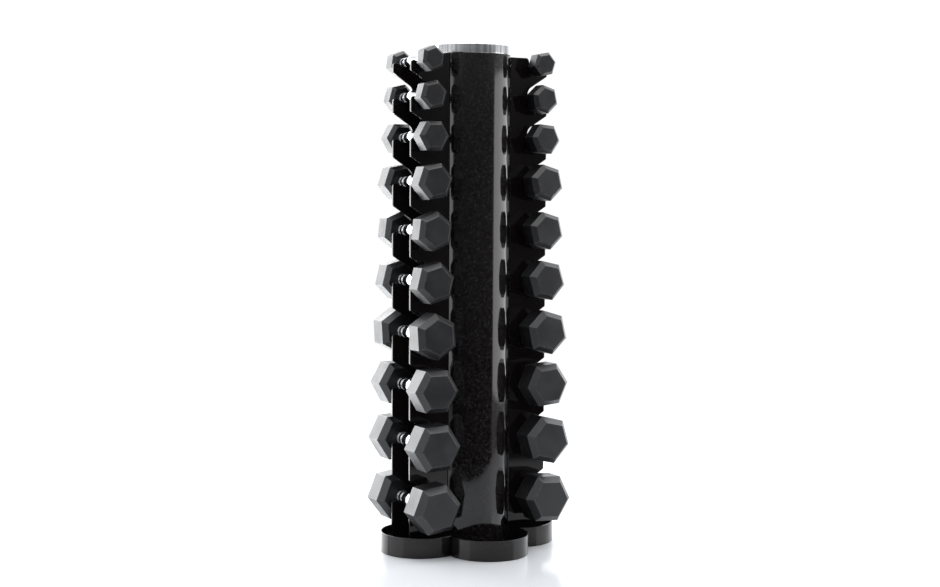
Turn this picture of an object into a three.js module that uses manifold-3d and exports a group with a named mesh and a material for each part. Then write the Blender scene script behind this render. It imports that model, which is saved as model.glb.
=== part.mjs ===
// Tower dumbbell rack: a round column standing in a four-lobed open tray, with two banks of ten
// cradles on opposite sides. Each bank is a pair of parallel upright plates with hook-shaped slots,
// and each slot carries the grip of one hexagonal dumbbell, the lightest at the top.
//
// Frame, millimetres: origin on the column's axis at the floor, +Z up, the banks reach out along
// +X and -X, the dumbbell grips lie along Y, and the front lobe of the tray is towards -Y.
import * as THREE from "three";
import { mergeVertices } from "three/addons/utils/BufferGeometryUtils.js";
import Module from "manifold-3d";

const GAP = 0.3; // clearance kept between pieces that touch

// Column, its band and its cap
const TOTAL_HEIGHT = 1200;
const COLUMN_RADIUS = 95.3;
const TUBE_WALL = 3;
const BAND_RADIUS = 96;
const BAND_HEIGHT = 21.5;
const SPIGOT_DEPTH = 18; // part of the band that plugs into the tube
const CAP_THICKNESS = 4;

// Tray: four overlapping round lobes
const LOBE_RADIUS = 95.6;
const LOBE_HEIGHT = 47.8;
const LOBE_WALL = 3;
const SIDE_LOBE_OFFSET = 128.8;
const FRONT_LOBE_OFFSET = 100.2;
const FLOOR_THICKNESS = 4;

// Cradle plates. Offsets in a slot are from the middle of its saddle's round.
const PLATE_THICKNESS = 6;
const PLATE_SPACING = 94; // between the middles of a pair
const PLATE_OUTER_X = 183;
const PLATE_TOP_Z = 1176.5;
const PLATE_TOP_CORNER = 8;
const SADDLE_X = 149.5; // from the column's axis
const SADDLE_RADIUS = 15;
const NOSE_RADIUS = 7.5;
const NOSE_DROP = 13.4; // middle of the nose's round end below the saddle's middle
const BACK_WALL_ANGLE = 121; // degrees above the outward direction
const TOP_WALL_ANGLE = 105; // the same above the top slot, which has no roof
const THROAT_RADIUS = 20; // round at the top of the back wall
const ROOF_ANGLE = 31.8; // slope of a slot's upper edge, degrees
const ROOF_POINT = [-14.5, 28]; // a point of that edge, from the middle of the grip
const ROOF_CORNER = 4;

// Dumbbells, from the 1 kg at the top to the 10 kg at the bottom
const TOP_GRIP_Z = 1159.5;
const ROW_PITCH = [83, 94.5, 104, 114.5, 118.5, 124, 126, 132.3, 141.8]; // grows with the heads
const HEAD_RADIUS = [30, 35, 38.5, 45, 46.5, 50, 55, 56, 60.3, 61.8]; // middle to corner
const HEAD_LENGTH = [30, 31, 34, 39, 39, 42, 46, 48, 51, 52]; // full-width part of a head
const HEAD_INNER_Y = 59; // inner face of a head, from the middle of the grip
const BEVEL_LENGTH = 0.25; // bevels at both ends of a head, as shares of its radius
const BEVEL_INSET = 0.24;
const CORE_RADIUS = 6.5; // bar that joins the two heads
const BORE_RADIUS = 7;
// How far each dumbbell has rolled in its cradle, degrees (a hexagon repeats every 60)
const ROLL_LEFT = [22, 14, 0, 11, 23, 16, 34, 0, 3, 8];
const ROLL_RIGHT = [12, 43, 55, 44, 44, 48, 44, 5, 47, -3];
// The grip is a sleeve that necks down where the plates hold it, thicker on heavier dumbbells.
const NECK_RADIUS = [10.5, 11, 11.5, 12, 12.5, 13, 13.5, 14, 14.3, 14.3];
// Half of its profile: distance from the middle, radius over the neck's.
const GRIP_SWELL = [[0, 4.5], [20, 3.2], [37, 0]];

const ROUND_SEGMENTS = 60;
const GRIP_SEGMENTS = 16;

const steelBlack = new THREE.MeshStandardMaterial({ color: 0x1c1b1d, roughness: 0.18, metalness: 0.3 });
const chrome = new THREE.MeshStandardMaterial({ color: 0xd8dadd, roughness: 0.08, metalness: 1 });
const rubber = new THREE.MeshStandardMaterial({ color: 0x3a3a3c, roughness: 0.7, metalness: 0 });

const wasm = await Module();
wasm.setup();

/** A closed three.js geometry as a solid that can be cut and joined. */
function toSolid(geometry) {
  const bare = geometry.clone();
  bare.deleteAttribute("normal");
  bare.deleteAttribute("uv");
  const merged = mergeVertices(bare, 1e-4);
  return new wasm.Manifold(
    new wasm.Mesh({
      numProp: 3,
      vertProperties: merged.attributes.position.array,
      triVerts: new Uint32Array(merged.index.array),
    }),
  );
}

/** A cut or joined solid as a three.js geometry. */
function toGeometry(solid) {
  const mesh = solid.getMesh();
  const geometry = new THREE.BufferGeometry();
  geometry.setAttribute("position", new THREE.BufferAttribute(mesh.vertProperties, 3));
  geometry.setIndex(new THREE.BufferAttribute(mesh.triVerts, 1));
  geometry.computeVertexNormals();
  return geometry;
}

/** Adds one named piece to a group. */
function addPiece(parent, name, geometry, material) {
  const mesh = new THREE.Mesh(geometry, material);
  mesh.name = name;
  parent.add(mesh);
  return mesh;
}

/** A solid of revolution about Z from [radius, z] points. */
function turned(points, segments = ROUND_SEGMENTS) {
  const profile = points.map(([r, z]) => new THREE.Vector2(r, z));
  return new THREE.LatheGeometry(profile, segments).rotateX(Math.PI / 2);
}

/** A round tube with a rectangular wall section, standing on z0. */
function tube(outer, wall, z0, z1) {
  const inner = outer - wall;
  return turned([[inner, z0], [outer, z0], [outer, z1], [inner, z1], [inner, z0]]);
}

/** An upright disc or drum between two heights. */
function drum(radius, z0, z1, x = 0, y = 0) {
  return turned([[0, z0], [radius, z0], [radius, z1], [0, z1]]).translate(x, y, 0);
}

// ---------------------------------------------------------------- column

function columnGroup() {
  const group = new THREE.Group();
  const bandBottom = TOTAL_HEIGHT - BAND_HEIGHT;
  const inner = COLUMN_RADIUS - TUBE_WALL;
  addPiece(group, "column_tube",
    tube(COLUMN_RADIUS, TUBE_WALL, FLOOR_THICKNESS + GAP, bandBottom - GAP), steelBlack);
  const spigot = inner - GAP;
  const bore = spigot - TUBE_WALL;
  addPiece(group, "top_band", turned([
    [bore, bandBottom - SPIGOT_DEPTH], [spigot, bandBottom - SPIGOT_DEPTH], [spigot, bandBottom],
    [BAND_RADIUS, bandBottom], [BAND_RADIUS, TOTAL_HEIGHT], [bore, TOTAL_HEIGHT],
    [bore, bandBottom - SPIGOT_DEPTH],
  ]), chrome);
  addPiece(group, "top_cap",
    drum(bore - GAP, TOTAL_HEIGHT - 1 - CAP_THICKNESS, TOTAL_HEIGHT - 1), steelBlack);
  return group;
}

// ---------------------------------------------------------------- tray

const LOBES = {
  left: [-SIDE_LOBE_OFFSET, 0],
  right: [SIDE_LOBE_OFFSET, 0],
  front: [0, -FRONT_LOBE_OFFSET],
  back: [0, FRONT_LOBE_OFFSET],
};

function trayGroup() {
  const group = new THREE.Group();
  const innerRadius = LOBE_RADIUS - LOBE_WALL;
  let floor = toSolid(drum(COLUMN_RADIUS, 0, FLOOR_THICKNESS));
  for (const [x, y] of Object.values(LOBES))
    floor = floor.add(toSolid(drum(innerRadius - GAP, 0, FLOOR_THICKNESS, x, y)));
  addPiece(group, "tray_floor", toGeometry(floor), steelBlack);

  // The side walls run through to the inside of the front and back walls, which butt against them.
  for (const [side, [x, y]] of Object.entries(LOBES)) {
    const onSide = side === "left" || side === "right";
    let wall = toSolid(tube(LOBE_RADIUS, LOBE_WALL, 0, LOBE_HEIGHT).translate(x, y, 0));
    const across = onSide ? [LOBES.front, LOBES.back] : [LOBES.left, LOBES.right];
    const cutRadius = onSide ? innerRadius : LOBE_RADIUS + GAP;
    for (const [cx, cy] of across)
      wall = wall.subtract(toSolid(drum(cutRadius, -1, LOBE_HEIGHT + 1, cx, cy)));
    wall = wall.subtract(toSolid(drum(COLUMN_RADIUS + GAP, -1, LOBE_HEIGHT + 1)));
    addPiece(group, `tray_wall_${side}`, toGeometry(wall), steelBlack);
  }
  return group;
}

// ---------------------------------------------------------------- cradle plates

const radians = THREE.MathUtils.degToRad;

/** Points of an arc from one angle to another, in degrees, both ends included. */
function arc(cx, cz, radius, from, to, steps) {
  return Array.from({ length: steps + 1 }, (_, i) => {
    const a = radians(from + ((to - from) * i) / steps);
    return [cx + radius * Math.cos(a), cz + radius * Math.sin(a)];
  });
}

/** Where two lines meet, each given by a point and a direction in degrees. */
function crossing([ax, az], aDegrees, [bx, bz], bDegrees) {
  const [ux, uz] = [Math.cos(radians(aDegrees)), Math.sin(radians(aDegrees))];
  const [vx, vz] = [Math.cos(radians(bDegrees)), Math.sin(radians(bDegrees))];
  const t = ((bx - ax) * vz - (bz - az) * vx) / (ux * vz - uz * vx);
  return [ax + t * ux, az + t * uz];
}

/** A rounded corner where travel turns from one direction to another, in degrees. */
function fillet(corner, fromDegrees, toDegrees, radius, steps) {
  const turn = toDegrees - fromDegrees;
  const side = Math.sign(turn);
  const back = radius * Math.tan(Math.abs(radians(turn)) / 2);
  const start = [
    corner[0] - back * Math.cos(radians(fromDegrees)),
    corner[1] - back * Math.sin(radians(fromDegrees)),
  ];
  const toCentre = fromDegrees + 90 * side;
  const cx = start[0] + radius * Math.cos(radians(toCentre));
  const cz = start[1] + radius * Math.sin(radians(toCentre));
  return arc(cx, cz, radius, toCentre + 180, toCentre + 180 + turn, steps);
}

const GRIP_Z = ROW_PITCH.reduce((rows, pitch) => [...rows, rows.at(-1) - pitch], [TOP_GRIP_Z]);
// A grip rests at the bottom of its saddle, so a thin one lies lower in it.
const SADDLE_Z = GRIP_Z.map((z, row) => z + SADDLE_RADIUS - NECK_RADIUS[row] - GAP);

/** One hook, walked from the outer edge below its nose over the nose, arm and saddle. */
function hookPoints(row) {
  const isTop = row === 0;
  const saddleZ = SADDLE_Z[row];
  const wallAngle = isTop ? TOP_WALL_ANGLE : BACK_WALL_ANGLE;
  const noseX = PLATE_OUTER_X - NOSE_RADIUS;
  const noseZ = saddleZ - NOSE_DROP;
  // The arm's upper edge touches both the nose's round and the saddle's round.
  const reach = noseX - SADDLE_X;
  const armAngle = THREE.MathUtils.radToDeg(
    Math.asin((NOSE_RADIUS + SADDLE_RADIUS) / Math.hypot(reach, NOSE_DROP)) -
      Math.atan2(NOSE_DROP, reach),
  );
  const nose = arc(noseX, noseZ, NOSE_RADIUS, 0, armAngle + 90, 5);
  const saddle = arc(SADDLE_X, saddleZ, SADDLE_RADIUS, armAngle - 90, wallAngle - 270, 6);
  const wallFoot = saddle.at(-1);
  if (isTop) {
    const corner = crossing(wallFoot, wallAngle, [0, PLATE_TOP_Z], 0);
    return [...nose, ...saddle, ...fillet(corner, wallAngle, 180, PLATE_TOP_CORNER, 4)];
  }
  const roof = [SADDLE_X + ROOF_POINT[0], GRIP_Z[row] + ROOF_POINT[1]];
  const throat = crossing(wallFoot, wallAngle, roof, ROOF_ANGLE);
  const lip = crossing(roof, ROOF_ANGLE, [PLATE_OUTER_X, 0], 90);
  return [
    ...nose,
    ...saddle,
    ...fillet(throat, wallAngle, ROOF_ANGLE, THROAT_RADIUS, 4),
    ...fillet(lip, ROOF_ANGLE, 90, ROOF_CORNER, 1),
  ];
}

function plateGeometry() {
  const nearFace = PLATE_SPACING / 2 - PLATE_THICKNESS / 2;
  const innerX = Math.sqrt(COLUMN_RADIUS ** 2 - nearFace ** 2) + GAP;
  const footZ = FLOOR_THICKNESS + GAP;
  const rows = SADDLE_Z.map((_, row) => row).reverse();
  const outline = [
    [innerX, footZ],
    [PLATE_OUTER_X, footZ],
    ...rows.flatMap((row) => hookPoints(row)),
    [innerX, PLATE_TOP_Z],
  ];
  const shape = new THREE.Shape(outline.map(([x, z]) => new THREE.Vector2(x, z)));
  return new THREE.ExtrudeGeometry(shape, { depth: PLATE_THICKNESS, bevelEnabled: false, steps: 1 })
    .translate(0, 0, -PLATE_THICKNESS / 2)
    .rotateX(Math.PI / 2);
}

// ---------------------------------------------------------------- dumbbells

/** Two six-sided heads and the bar between them, along Y. */
function headsGeometry(row) {
  const radius = HEAD_RADIUS[row];
  const bevel = BEVEL_LENGTH * radius;
  const face = radius * (1 - BEVEL_INSET);
  const outer = HEAD_INNER_Y + HEAD_LENGTH[row] + 2 * bevel;
  const half = [
    [CORE_RADIUS, HEAD_INNER_Y],
    [face, HEAD_INNER_Y],
    [radius, HEAD_INNER_Y + bevel],
    [radius, outer - bevel],
    [face, outer],
    [0, outer],
  ];
  const profile = [...[...half].reverse().map(([r, y]) => [r, -y]), ...half];
  return new THREE.LatheGeometry(profile.map(([r, y]) => new THREE.Vector2(r, y)), 6, Math.PI / 2);
}

/** The chromed grip sleeve on that bar, along Y. */
function gripGeometry(row) {
  const neck = NECK_RADIUS[row];
  const end = HEAD_INNER_Y - GAP;
  const half = [...GRIP_SWELL.map(([y, swell]) => [y, neck + swell]), [end, neck]];
  const outer = [...half.slice(1).reverse().map(([y, r]) => [-y, r]), ...half];
  const closed = [[-end, BORE_RADIUS], ...outer, [end, BORE_RADIUS], [-end, BORE_RADIUS]];
  return new THREE.LatheGeometry(closed.map(([y, r]) => new THREE.Vector2(r, y)), GRIP_SEGMENTS);
}

function bankGroup(side) {
  const outward = side === "right" ? 1 : -1;
  const rolls = side === "right" ? ROLL_RIGHT : ROLL_LEFT;
  const group = new THREE.Group();
  const plate = plateGeometry();
  for (const [place, y] of [["front", -PLATE_SPACING / 2], ["back", PLATE_SPACING / 2]]) {
    const mesh = addPiece(group, `cradle_plate_${side}_${place}`, plate, steelBlack);
    mesh.position.y = y;
    mesh.rotation.z = outward > 0 ? 0 : Math.PI;
  }
  GRIP_Z.forEach((z, row) => {
    const dumbbell = new THREE.Group();
    dumbbell.position.set(outward * SADDLE_X, 0, z);
    const name = `dumbbell_${side}_${String(row + 1).padStart(2, "0")}`;
    addPiece(dumbbell, `${name}_heads`, headsGeometry(row), rubber);
    addPiece(dumbbell, `${name}_grip`, gripGeometry(row), chrome);
    dumbbell.rotation.y = -radians(rolls[row]);
    group.add(dumbbell);
  });
  return group;
}

const rack = new THREE.Group();
rack.add(columnGroup(), trayGroup(), bankGroup("left"), bankGroup("right"));

export default rack;
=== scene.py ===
"""Looks of a tower dumbbell rack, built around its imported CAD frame.

A gloss black column stands in a four-lobed tray. Two banks of cradle plates on its sides carry
twenty hexagonal rubber dumbbells with chromed grips. Lengths are metres in the row frame: +Z up,
the banks reach out along X, the grips lie along Y, and the tray's front lobe is towards -Y.
"""

import logging
import math
from collections.abc import Callable, Mapping, Sequence
from dataclasses import dataclass
from enum import Enum
from typing import Any

import bmesh
import bpy
from mathutils import Matrix, Vector


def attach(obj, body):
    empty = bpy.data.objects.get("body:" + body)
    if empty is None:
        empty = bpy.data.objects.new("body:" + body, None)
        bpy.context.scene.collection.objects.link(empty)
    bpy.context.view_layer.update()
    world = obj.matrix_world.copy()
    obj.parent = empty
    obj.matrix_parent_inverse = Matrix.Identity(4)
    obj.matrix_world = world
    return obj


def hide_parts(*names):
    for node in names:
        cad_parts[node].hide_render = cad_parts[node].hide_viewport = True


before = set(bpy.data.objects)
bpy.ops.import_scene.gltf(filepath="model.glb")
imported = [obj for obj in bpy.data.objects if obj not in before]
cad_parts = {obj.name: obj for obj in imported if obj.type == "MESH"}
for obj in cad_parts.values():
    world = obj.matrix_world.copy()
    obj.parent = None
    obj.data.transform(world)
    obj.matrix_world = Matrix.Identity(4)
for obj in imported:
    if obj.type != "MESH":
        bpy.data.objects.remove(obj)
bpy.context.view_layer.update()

log = logging.getLogger("dumbbell_rack")

GAP = 0.0003  # clearance kept between pieces that touch
COLUMN_RADIUS = 0.0953
FOOT_Z = 0.0043  # where the column and the plates stand, on the tray's floor
SADDLE_X = 0.1495  # from the column's axis to the middle of a resting grip
ARC_STEPS = 100  # steps to a radian of a rounded corner of 1 m, fewer on a smaller one
MERGE = 1e-7  # points closer than this become one
SHORT = 0.001  # an edge round's steps are shorter than this
HALF = 0.49  # the most of a side that a rounded corner takes up
WEAR = "wear"  # how rubbed a point is: 1 on an edge, 0 in the open

Flat = tuple[float, float]
Triple = tuple[float, float, float]  # a colour, or a value for each axis
Ring = list[tuple[Vector, float]]
Value = Any


class Bank(Enum):
    """The two banks of cradles, with the side of the column that each is on."""

    LEFT = -1
    RIGHT = 1

    @property
    def word(self) -> str:
        """The bank's word in the names of nodes and pieces."""
        return self.name.lower()


class Place(Enum):
    """The two plates of a pair."""

    FRONT = -1
    BACK = 1


class Lobe(Enum):
    """The four lobes of the tray, with the direction in which each lies."""

    LEFT = (-1, 0)
    RIGHT = (1, 0)
    FRONT = (0, -1)
    BACK = (0, 1)


# ------------------------------------------------------------------ shader graphs


def operator(operation: str, reflected: bool = False) -> Callable[["Signal", Value], "Signal"]:
    """Makes one of the operators that signals have.

    Args:
        operation: The operation of the Math node that it adds.
        reflected: Whether the signal stands on the operator's right.

    Returns:
        The method.
    """

    def method(self: "Signal", other: Value = 0.0) -> "Signal":
        """Adds the Math node."""
        inputs = dict(enumerate((other, self) if reflected else (self, other)))
        node = self.graph.node("ShaderNodeMath", {"operation": operation}, inputs)
        return Signal(self.graph, node.outputs[0])

    return method


class Signal:
    """A number in a shader graph that works in Python expressions, one Math node a step."""

    def __init__(self, graph: "Graph", socket: bpy.types.NodeSocket) -> None:
        """Wraps one output socket of the graph."""
        self.graph = graph
        self.socket = socket

    __add__, __radd__ = operator("ADD"), operator("ADD", reflected=True)
    __sub__, __rsub__ = operator("SUBTRACT"), operator("SUBTRACT", reflected=True)
    __mul__, __rmul__ = operator("MULTIPLY"), operator("MULTIPLY", reflected=True)
    __truediv__, __rtruediv__ = operator("DIVIDE"), operator("DIVIDE", reflected=True)

    def root(self) -> "Signal":
        """Square root."""
        return operator("SQRT")(self)

    def step(self, low: float, high: float) -> "Signal":
        """Smooth step from 0 at low to 1 at high.

        Args:
            low: Where the step starts.
            high: Where it is complete. It may be below low.

        Returns:
            The step, from 0 to 1.
        """
        settings = {"interpolation_type": "SMOOTHSTEP"}
        if low > high:
            return 1.0 - self.step(high, low)
        node = self.graph.node("ShaderNodeMapRange", settings, {0: self, 1: low, 2: high})
        return Signal(self.graph, node.outputs[0])


class Graph:
    """A node tree with short ways to add nodes."""

    def __init__(self, tree: bpy.types.NodeTree) -> None:
        """Empties a tree and builds in it."""
        self.tree = tree
        self.tree.nodes.clear()

    def node(
        self,
        kind: str,
        settings: Mapping[str, Value] | None = None,
        inputs: Mapping[str | int, Value] | None = None,
    ) -> bpy.types.Node:
        """Adds a node.

        Args:
            kind: The node's type name.
            settings: Its properties, set before its sockets.
            inputs: A value, socket or signal for each input, by name or number.

        Returns:
            The new node.
        """
        made = self.tree.nodes.new(kind)
        for key, value in (settings or {}).items():
            setattr(made, key, value)
        for key, value in (inputs or {}).items():
            source = value.socket if isinstance(value, Signal) else value
            if isinstance(source, bpy.types.NodeSocket):
                self.tree.links.new(source, made.inputs[key])
            else:
                made.inputs[key].default_value = source
        return made

    def out(self, kind: str, inputs: Mapping[str | int, Value], output: str | int = 0) -> Value:
        """Adds a node without settings and gives one of its outputs.

        Args:
            kind: The node's type name.
            inputs: A value, socket or signal for each input, by name or number.
            output: The output, by name or number.

        Returns:
            The socket.
        """
        return self.node(kind, None, inputs).outputs[output]

    def place(self) -> bpy.types.NodeSocket:
        """The point on the piece, in the row frame."""
        return self.out("ShaderNodeTexCoord", {}, "Object")

    def stretched(self, source: bpy.types.NodeSocket, scale: Triple) -> bpy.types.NodeSocket:
        """Scales a vector along each axis."""
        return self.out("ShaderNodeMapping", {"Vector": source, "Scale": scale})

    def noise(
        self, source: bpy.types.NodeSocket, scale: float, detail: float = 2.0, rough: float = 0.5
    ) -> Signal:
        """Cloudy noise from 0 to 1.

        Args:
            source: The vector that it is read at.
            scale: How many patches there are in a metre.
            detail: How many finer layers it has.
            rough: How strong these are.

        Returns:
            The noise.
        """
        inputs = {"Vector": source, "Scale": scale, "Detail": detail, "Roughness": rough}
        return Signal(self, self.out("ShaderNodeTexNoise", inputs))

    def wear(self) -> Signal:
        """How rubbed the piece is here, from its own attribute."""
        node = self.node("ShaderNodeAttribute", {"attribute_name": WEAR})
        return Signal(self, node.outputs["Fac"])

    def tint(self, factor: Value, low: Value, high: Value) -> Value:
        """Goes from one colour to another.

        Args:
            factor: 0 for the first colour and 1 for the second.
            low: The first colour, as three numbers or a socket.
            high: The second colour, in the same way.

        Returns:
            The socket with the colour.
        """
        first, second = ((*c, 1.0) if isinstance(c, tuple) else c for c in (low, high))
        inputs = {0: factor, 6: first, 7: second}
        return self.node("ShaderNodeMix", {"data_type": "RGBA"}, inputs).outputs[2]

    def bump(self, height: Signal, depth: float, below: Value = None) -> Value:
        """Turns a height into a normal.

        Args:
            height: The height, from 0 to 1.
            depth: How deep that is, in metres.
            below: A normal that this one goes on top of.

        Returns:
            The socket with the normal.
        """
        inputs = {"Height": height, "Distance": depth, "Strength": 1.0}
        if below is not None:
            inputs["Normal"] = below
        return self.out("ShaderNodeBump", inputs)


@dataclass(frozen=True)
class Finish:
    """A finish made of one Principled shader."""

    name: str

    def sockets(self, graph: Graph) -> dict[str, Value]:
        """The shader's values.

        Args:
            graph: The graph that their nodes go in.

        Returns:
            A value, socket or signal for each input by name.
        """
        raise NotImplementedError

    def make(self) -> bpy.types.Material:
        """Builds the material."""
        material = bpy.data.materials.new(self.name)
        material.use_nodes = True
        graph = Graph(material.node_tree)
        shader = graph.out("ShaderNodeBsdfPrincipled", self.sockets(graph))
        graph.node("ShaderNodeOutputMaterial", None, {"Surface": shader})
        return material


@dataclass(frozen=True)
class GlossPaint(Finish):
    """Stoved gloss black paint on steel, with a faint orange peel and a thinner coat on edges."""

    colour: Triple = (0.0034, 0.0024, 0.0023)
    faded: Triple = (0.0044, 0.0030, 0.0029)
    rubbed: Triple = (0.030, 0.029, 0.031)
    roughness: float = 0.05
    patch_roughness: float = 0.008
    rubbed_roughness: float = 0.16
    ior: float = 1.52
    grain: Triple = (1.0, 1.0, 1.0)  # stretches the patterns along X, Y and Z, as on drawn tube
    patch_scale: float = 9.0
    patch_edges: Flat = (0.35, 0.7)
    wave_scale: float = 38.0
    wave_depth: float = 0.000005
    peel_scale: float = 260.0
    peel_depth: float = 0.0000003
    rub_scale: float = 160.0
    rub_edges: Flat = (0.35, 0.75)

    def sockets(self, graph: Graph) -> dict[str, Value]:
        """The shader's values."""
        place = graph.place()
        wear = graph.wear()
        drawn = graph.stretched(place, self.grain)
        patches = graph.noise(drawn, self.patch_scale, 1.0)
        peel = graph.noise(drawn, self.peel_scale, 1.0)
        wave = graph.noise(drawn, self.wave_scale, 1.0)
        edge = wear * graph.noise(place, self.rub_scale, 3.0).step(*self.rub_edges)
        paint = graph.tint(patches.step(*self.patch_edges), self.colour, self.faded)
        normal = graph.bump(wave, self.wave_depth)
        rough = self.roughness + patches * self.patch_roughness + edge * self.rubbed_roughness
        return {
            "Base Color": graph.tint(edge, paint, self.rubbed),
            "Roughness": rough,
            "IOR": self.ior,
            "Normal": graph.bump(peel, self.peel_depth, normal),
        }


@dataclass(frozen=True)
class Chrome(Finish):
    """Polished chrome plate that keeps a trace of the turning or drawing under it, and can carry
    bright and dull streaks of painted reflection in its colour.
    """

    grain: Triple  # fine lines and the painted reflection streaks run along the axis with the smallest number
    colour: Triple = (0.60, 0.61, 0.63)
    # the dull tone of the random clouds, and the dark side of the painted reflection streaks
    cloudy_and_painted_reflection: Triple = (0.50, 0.51, 0.53)
    roughness: float = 0.07
    uneven: float = 0.05  # what clouds and lines each add to the roughness
    line_scale: float = 60.0
    line_depth: float = 0.000012
    cloud_scale: float = 30.0
    cloud_edges: Flat = (0.35, 0.75)
    painted_reflection_streaks: float = 0.0  # how strongly painted reflection streaks, bright and dull, alternate round the piece
    painted_streak_scale: float = 150.0
    painted_streak_edges: Flat = (0.42, 0.62)

    def sockets(self, graph: Graph) -> dict[str, Value]:
        """The shader's values."""
        place = graph.place()
        along = graph.stretched(place, self.grain)
        lines = graph.noise(along, self.line_scale, 3.0, 0.6)
        clouds = graph.noise(place, self.cloud_scale, 3.0)
        # painted reflection: bright and dull streaks mixed into the chrome's colour stand in for
        # reflected light
        painted_reflection_bands = graph.noise(along, self.painted_streak_scale, 2.0, 0.7).step(*self.painted_streak_edges)
        dull_and_painted_reflection = clouds.step(*self.cloud_edges) * (1.0 - self.painted_reflection_streaks) + painted_reflection_bands * self.painted_reflection_streaks
        return {
            "Base Color": graph.tint(dull_and_painted_reflection, self.colour, self.cloudy_and_painted_reflection),
            "Metallic": 1.0,
            "Roughness": self.roughness + clouds * self.uneven + lines * self.uneven,
            "Normal": graph.bump(lines, self.line_depth),
        }


@dataclass(frozen=True)
class MouldedRubber(Finish):
    """Matt black rubber with the fine pebble of its mould, greyer where it is handled."""

    colour: Triple = (0.0045, 0.0045, 0.0056)
    chalky: Triple = (0.0085, 0.0085, 0.0100)
    rubbed: Triple = (0.055, 0.055, 0.058)
    roughness: float = 0.32
    ior: float = 1.55
    pebble_scale: float = 520.0
    pebble_depth: float = 0.00004
    flow: Triple = (1.0, 0.12, 1.0)  # stretches the pebble along the grip
    flow_depth: float = 0.000025
    patch_scale: float = 22.0
    pebble_share: float = 0.3  # how much of the chalkiness follows the pebble
    chalk_edges: Flat = (0.38, 0.68)
    rub_scale: float = 130.0
    rub_edges: Flat = (0.3, 0.8)
    rub_strength: float = 0.7
    chalk_roughness: float = 0.10
    pebble_roughness: float = 0.06
    rub_gloss: float = 0.06

    def sockets(self, graph: Graph) -> dict[str, Value]:
        """The shader's values."""
        place = graph.place()
        pebble = graph.noise(place, self.pebble_scale, 2.0, 0.6)
        flow = graph.noise(graph.stretched(place, self.flow), self.pebble_scale, 2.0)
        patches = graph.noise(place, self.patch_scale, 4.0, 0.6)
        edge = graph.wear() * graph.noise(place, self.rub_scale, 3.0, 0.6).step(*self.rub_edges)
        chalk = patches * (1.0 - self.pebble_share) + pebble * self.pebble_share
        chalk = chalk.step(*self.chalk_edges)
        rubber = graph.tint(chalk, self.colour, self.chalky)
        normal = graph.bump(flow, self.flow_depth)
        rough = self.roughness + chalk * self.chalk_roughness - edge * self.rub_gloss
        rough = rough + pebble * self.pebble_roughness
        return {
            "Base Color": graph.tint(edge * self.rub_strength, rubber, self.rubbed),
            "Roughness": rough,
            "IOR": self.ior,
            "Normal": graph.bump(pebble, self.pebble_depth, normal),
        }


@dataclass(frozen=True)
class SatinPlastic(Finish):
    """Moulded black plastic with a fine spark-eroded texture."""

    colour: Triple = (0.012, 0.012, 0.013)
    scuffed: Triple = (0.030, 0.030, 0.031)
    roughness: float = 0.38
    texture_scale: float = 1100.0
    texture_depth: float = 0.00008
    patch_scale: float = 25.0
    scuff_way: Triple = (1.0, 0.08, 1.0)  # stretches the scuffs along Y
    scuff_scale: float = 90.0
    scuff_edges: Flat = (0.58, 0.72)
    scuff_strength: float = 0.4
    rub_strength: float = 0.5
    patch_roughness: float = 0.12
    scuff_gloss: float = 0.06

    def sockets(self, graph: Graph) -> dict[str, Value]:
        """The shader's values."""
        place = graph.place()
        texture = graph.noise(place, self.texture_scale, 1.0)
        patches = graph.noise(place, self.patch_scale, 4.0)
        scuffs = graph.noise(graph.stretched(place, self.scuff_way), self.scuff_scale, 3.0)
        scuffs = scuffs.step(*self.scuff_edges)
        marks = scuffs * self.scuff_strength + graph.wear() * self.rub_strength
        rough = self.roughness + patches * self.patch_roughness - scuffs * self.scuff_gloss
        return {
            "Base Color": graph.tint(marks, self.colour, self.scuffed),
            "Roughness": rough,
            "Normal": graph.bump(texture, self.texture_depth),
        }


@dataclass(frozen=True)
class StudioSweep(Finish):
    """Pale, slightly glossy studio floor."""

    colour: Triple = (0.575, 0.59, 0.61)
    paler: Triple = (0.60, 0.61, 0.63)
    roughness: float = 0.11
    uneven: float = 0.05
    ior: float = 1.5
    patch_scale: float = 1.6

    def sockets(self, graph: Graph) -> dict[str, Value]:
        """The shader's values."""
        patches = graph.noise(graph.place(), self.patch_scale, 3.0)
        colour = graph.tint(patches, self.colour, self.paler)
        rough = self.roughness + patches * self.uneven
        return {"Base Color": colour, "Roughness": rough, "IOR": self.ior}


class Finishes:
    """Every finish of the rack, made once."""

    def __init__(self) -> None:
        """Makes the materials."""
        self.tube = GlossPaint("tube_gloss_black", grain=(1.0, 1.0, 0.02)).make()
        self.sheet = GlossPaint(
            "sheet_gloss_black",
            colour=(0.0058, 0.0045, 0.0043),
            faded=(0.0074, 0.0060, 0.0058),
            rubbed=(0.018, 0.017, 0.018),
            roughness=0.07,
            ior=1.4,
        ).make()
        # the band's colour carries painted reflection: bright and dull streaks in its chrome
        self.band = Chrome(
            "band_chrome",
            (1.0, 1.0, 0.01),
            colour=(0.80, 0.81, 0.82),
            cloudy_and_painted_reflection=(0.42, 0.43, 0.44),
            line_depth=0.00002,
            painted_reflection_streaks=0.7,
        ).make()
        self.grip = Chrome("grip_chrome", (0.03, 9.0, 0.03)).make()
        self.cap = SatinPlastic("cap_satin_plastic").make()
        self.rubber = MouldedRubber("head_rubber").make()


# ------------------------------------------------------------------ mesh making


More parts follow.
